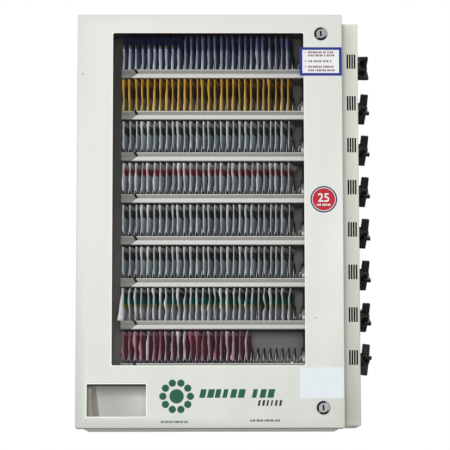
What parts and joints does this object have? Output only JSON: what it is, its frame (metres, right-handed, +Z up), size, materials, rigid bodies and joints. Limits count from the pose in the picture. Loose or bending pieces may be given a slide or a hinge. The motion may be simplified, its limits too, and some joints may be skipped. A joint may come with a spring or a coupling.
{
  "type": "vending machine",
  "caption": "Wall-mounted coin vending machine for flat sachets, with a window door, wire spirals in rows, a turn knob and coin slots for each row, and a delivery bin.",
  "frame": {"origin": "on the floor plane, in the middle of the overall width from the door's left edge to the knobs' ends, and in the middle of the overall depth", "axes": "+Z up, -Y out of the door's front, +X towards the knobs"},
  "size_m": [0.5246, 0.2062, 0.734],
  "materials": {
    "cabinet_shell": "light grey-green powder coat",
    "lock_strikes": "zinc plated",
    "side_housing": "light grey-green powder coat",
    "divider_panel": "grey powder coat",
    "shaft_bushes": "black moulded plastic",
    "coin_guides": "machined",
    "tray_screws": "zinc plated",
    "delivery_hopper": "light grey powder coat",
    "cash_box": "grey powder coat",
    "cabinet_hinge_leaf": "bright steel",
    "trays": "light grey powder coat",
    "door_panel": "light grey-green powder coat",
    "window_pane": "clear pane",
    "pane_retainer": "grey powder coat",
    "door_hinge_leaf": "bright steel",
    "lock_barrels": "polished",
    "lock_nuts": "plain",
    "top_lock_plug": "brushed face",
    "top_lock_cam": "zinc plated",
    "bottom_lock_plug": "brushed face",
    "bottom_lock_cam": "zinc plated",
    "knob": "black moulded plastic",
    "coin_drum": "turned",
    "spiral": "bright spring wire",
    "sachets": "printed foil pouch"
  },
  "bodies": {
    "root": {"cabinet_shell": "cabinet_shell", "lock_strikes": "lock_strikes", "side_housing": "side_housing", "divider_panel": "divider_panel", "shaft_bushes": "shaft_bushes", "coin_guides": "coin_guides", "tray_screws": "tray_screws", "delivery_hopper": "delivery_hopper", "cash_box": "cash_box", "cabinet_hinge_leaf": "cabinet_hinge_leaf", "row_1_tray": "trays", "row_2_tray": "trays", "row_3_tray": "trays", "row_4_tray": "trays", "row_5_tray": "trays", "row_6_tray": "trays", "row_7_tray": "trays", "row_8_tray": "trays"},
    "door": {"door_panel": "door_panel", "window_pane": "window_pane", "pane_retainer": "pane_retainer", "door_hinge_leaf": "door_hinge_leaf", "lock_barrels": "lock_barrels", "lock_nuts": "lock_nuts"},
    "lock_top": {"top_lock_plug": "top_lock_plug", "top_lock_cam": "top_lock_cam"},
    "lock_bottom": {"bottom_lock_plug": "bottom_lock_plug", "bottom_lock_cam": "bottom_lock_cam"},
    "drive_1": {"row_1_knob": "knob", "row_1_coin_drum": "coin_drum", "row_1_spiral": "spiral"},
    "stock_1": {"row_1_sachets": "sachets"},
    "drive_2": {"row_2_knob": "knob", "row_2_coin_drum": "coin_drum", "row_2_spiral": "spiral"},
    "stock_2": {"row_2_sachets": "sachets"},
    "drive_3": {"row_3_knob": "knob", "row_3_coin_drum": "coin_drum", "row_3_spiral": "spiral"},
    "stock_3": {"row_3_sachets": "sachets"},
    "drive_4": {"row_4_knob": "knob", "row_4_coin_drum": "coin_drum", "row_4_spiral": "spiral"},
    "stock_4": {"row_4_sachets": "sachets"},
    "drive_5": {"row_5_knob": "knob", "row_5_coin_drum": "coin_drum", "row_5_spiral": "spiral"},
    "stock_5": {"row_5_sachets": "sachets"},
    "drive_6": {"row_6_knob": "knob", "row_6_coin_drum": "coin_drum", "row_6_spiral": "spiral"},
    "stock_6": {"row_6_sachets": "sachets"},
    "drive_7": {"row_7_knob": "knob", "row_7_coin_drum": "coin_drum", "row_7_spiral": "spiral"},
    "stock_7": {"row_7_sachets": "sachets"},
    "drive_8": {"row_8_knob": "knob", "row_8_coin_drum": "coin_drum", "row_8_spiral": "spiral"},
    "stock_8": {"row_8_sachets": "sachets"}
  },
  "joints": [
    {"name": "door_swing", "type": "hinge", "parent": "root", "child": "door", "pos_m": [-0.25351, -0.0474, 0.367], "axis": [0, 0, -1], "range_deg": [0, 110]},
    {"name": "top_lock_turn", "type": "hinge", "parent": "door", "child": "lock_top", "pos_m": [0.17019, -0.1001, 0.699], "axis": [0, -1, 0], "range_deg": [0, 90]},
    {"name": "bottom_lock_turn", "type": "hinge", "parent": "door", "child": "lock_bottom", "pos_m": [0.17019, -0.1001, 0.035], "axis": [0, 1, 0], "range_deg": [0, 90]},
    {"name": "knob_1_turn", "type": "hinge", "parent": "root", "child": "drive_1", "pos_m": [0.23929, 0.0141, 0.6594], "axis": [-1, 0, 0], "range_deg": [0, 360]},
    {"name": "stock_1_advance", "type": "slide", "parent": "root", "child": "stock_1", "axis": [-1, 0, 0], "range_m": [0, 0.0111]},
    {"name": "knob_2_turn", "type": "hinge", "parent": "root", "child": "drive_2", "pos_m": [0.23929, 0.0141, 0.5832], "axis": [-1, 0, 0], "range_deg": [0, 360]},
    {"name": "stock_2_advance", "type": "slide", "parent": "root", "child": "stock_2", "axis": [-1, 0, 0], "range_m": [0, 0.0111]},
    {"name": "knob_3_turn", "type": "hinge", "parent": "root", "child": "drive_3", "pos_m": [0.23929, 0.0141, 0.507], "axis": [-1, 0, 0], "range_deg": [0, 360]},
    {"name": "stock_3_advance", "type": "slide", "parent": "root", "child": "stock_3", "axis": [-1, 0, 0], "range_m": [0, 0.0111]},
    {"name": "knob_4_turn", "type": "hinge", "parent": "root", "child": "drive_4", "pos_m": [0.23929, 0.0141, 0.4308], "axis": [-1, 0, 0], "range_deg": [0, 360]},
    {"name": "stock_4_advance", "type": "slide", "parent": "root", "child": "stock_4", "axis": [-1, 0, 0], "range_m": [0, 0.0111]},
    {"name": "knob_5_turn", "type": "hinge", "parent": "root", "child": "drive_5", "pos_m": [0.23929, 0.0141, 0.3546], "axis": [-1, 0, 0], "range_deg": [0, 360]},
    {"name": "stock_5_advance", "type": "slide", "parent": "root", "child": "stock_5", "axis": [-1, 0, 0], "range_m": [0, 0.0111]},
    {"name": "knob_6_turn", "type": "hinge", "parent": "root", "child": "drive_6", "pos_m": [0.23929, 0.0141, 0.2784], "axis": [-1, 0, 0], "range_deg": [0, 360]},
    {"name": "stock_6_advance", "type": "slide", "parent": "root", "child": "stock_6", "axis": [-1, 0, 0], "range_m": [0, 0.0111]},
    {"name": "knob_7_turn", "type": "hinge", "parent": "root", "child": "drive_7", "pos_m": [0.23929, 0.0141, 0.2022], "axis": [-1, 0, 0], "range_deg": [0, 360]},
    {"name": "stock_7_advance", "type": "slide", "parent": "root", "child": "stock_7", "axis": [-1, 0, 0], "range_m": [0, 0.0111]},
    {"name": "knob_8_turn", "type": "hinge", "parent": "root", "child": "drive_8", "pos_m": [0.23929, 0.0141, 0.126], "axis": [-1, 0, 0], "range_deg": [0, 360]},
    {"name": "stock_8_advance", "type": "slide", "parent": "root", "child": "stock_8", "axis": [-1, 0, 0], "range_m": [0, 0.0111]}
  ],
  "couplings": [
    {"joint": "stock_1_advance", "follows": "knob_1_turn", "m_per_rad": 0.0017515},
    {"joint": "stock_2_advance", "follows": "knob_2_turn", "m_per_rad": 0.0017515},
    {"joint": "stock_3_advance", "follows": "knob_3_turn", "m_per_rad": 0.0017515},
    {"joint": "stock_4_advance", "follows": "knob_4_turn", "m_per_rad": 0.0017515},
    {"joint": "stock_5_advance", "follows": "knob_5_turn", "m_per_rad": 0.0017515},
    {"joint": "stock_6_advance", "follows": "knob_6_turn", "m_per_rad": 0.0017515},
    {"joint": "stock_7_advance", "follows": "knob_7_turn", "m_per_rad": 0.0017515},
    {"joint": "stock_8_advance", "follows": "knob_8_turn", "m_per_rad": 0.0017515}
  ]
}
